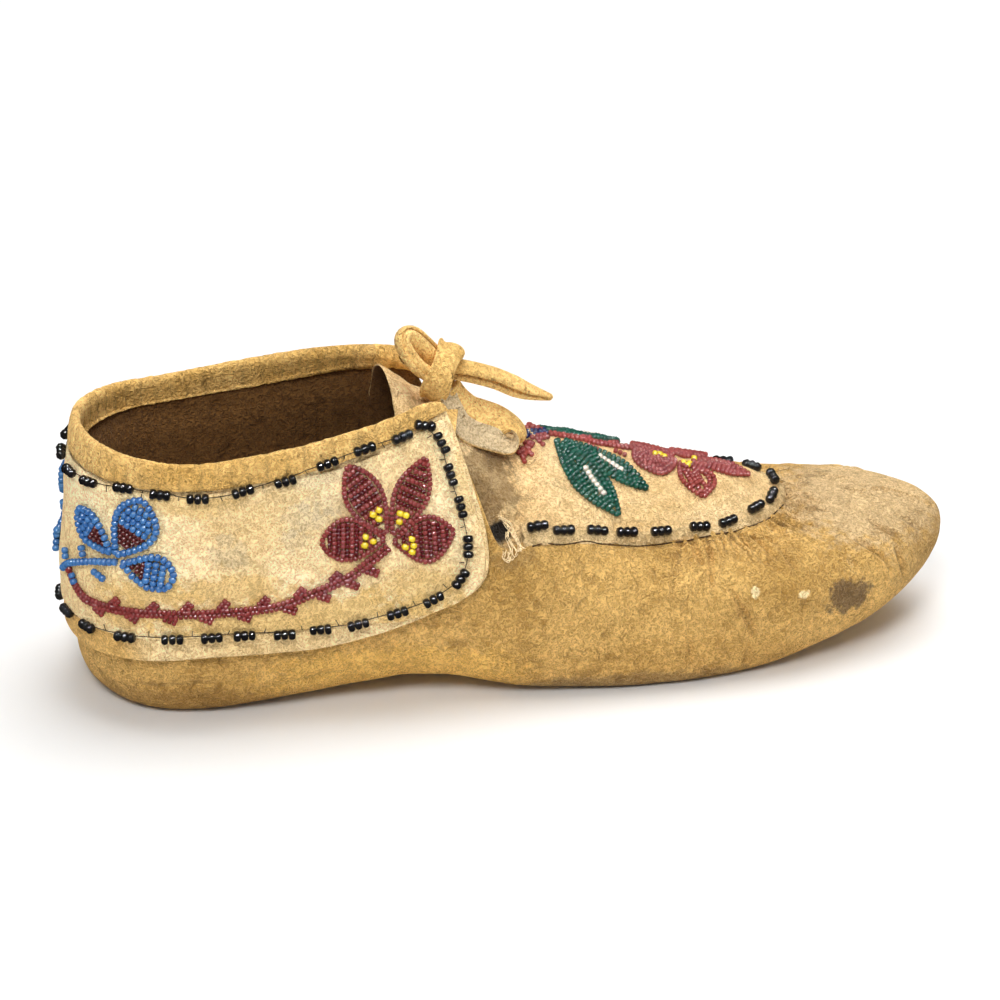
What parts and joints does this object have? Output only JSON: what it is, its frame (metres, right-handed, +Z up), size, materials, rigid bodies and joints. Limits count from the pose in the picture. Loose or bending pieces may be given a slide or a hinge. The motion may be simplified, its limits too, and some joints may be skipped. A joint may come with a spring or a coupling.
{
  "type": "beaded moccasin",
  "caption": "Soft-soled hide moccasin with a puckered toe, beaded vamp, hemmed tongue and a turned-down beaded ankle cuff, tied by a thong bow.",
  "frame": {"origin": "on the floor, under the middle of the shoe's box", "axes": "+X from heel to toe, +Y to the outer side of the foot, +Z up from the floor"},
  "size_m": [0.2576, 0.0902, 0.1019],
  "materials": {
    "smoked_hide": "soft smoked hide, napped, matt",
    "vamp_hide": "soft hide, paler, matt",
    "panel_hide": "soft cream hide, mottled, matt",
    "pale_hide": "soft pale hide, matt",
    "golden_hide": "soft golden hide, napped, matt"
  },
  "bodies": {
    "root": {"sole_and_sides": "smoked_hide", "vamp": "vamp_hide", "tongue": "vamp_hide", "cuff": "pale_hide", "cuff_panel": "panel_hide", "collar_binding": "golden_hide", "thong_bar": "golden_hide", "thong_knot": "golden_hide", "thong_loop_upper": "golden_hide", "thong_loop_lower": "golden_hide", "thong_end": "golden_hide"}
  },
  "joints": []
}
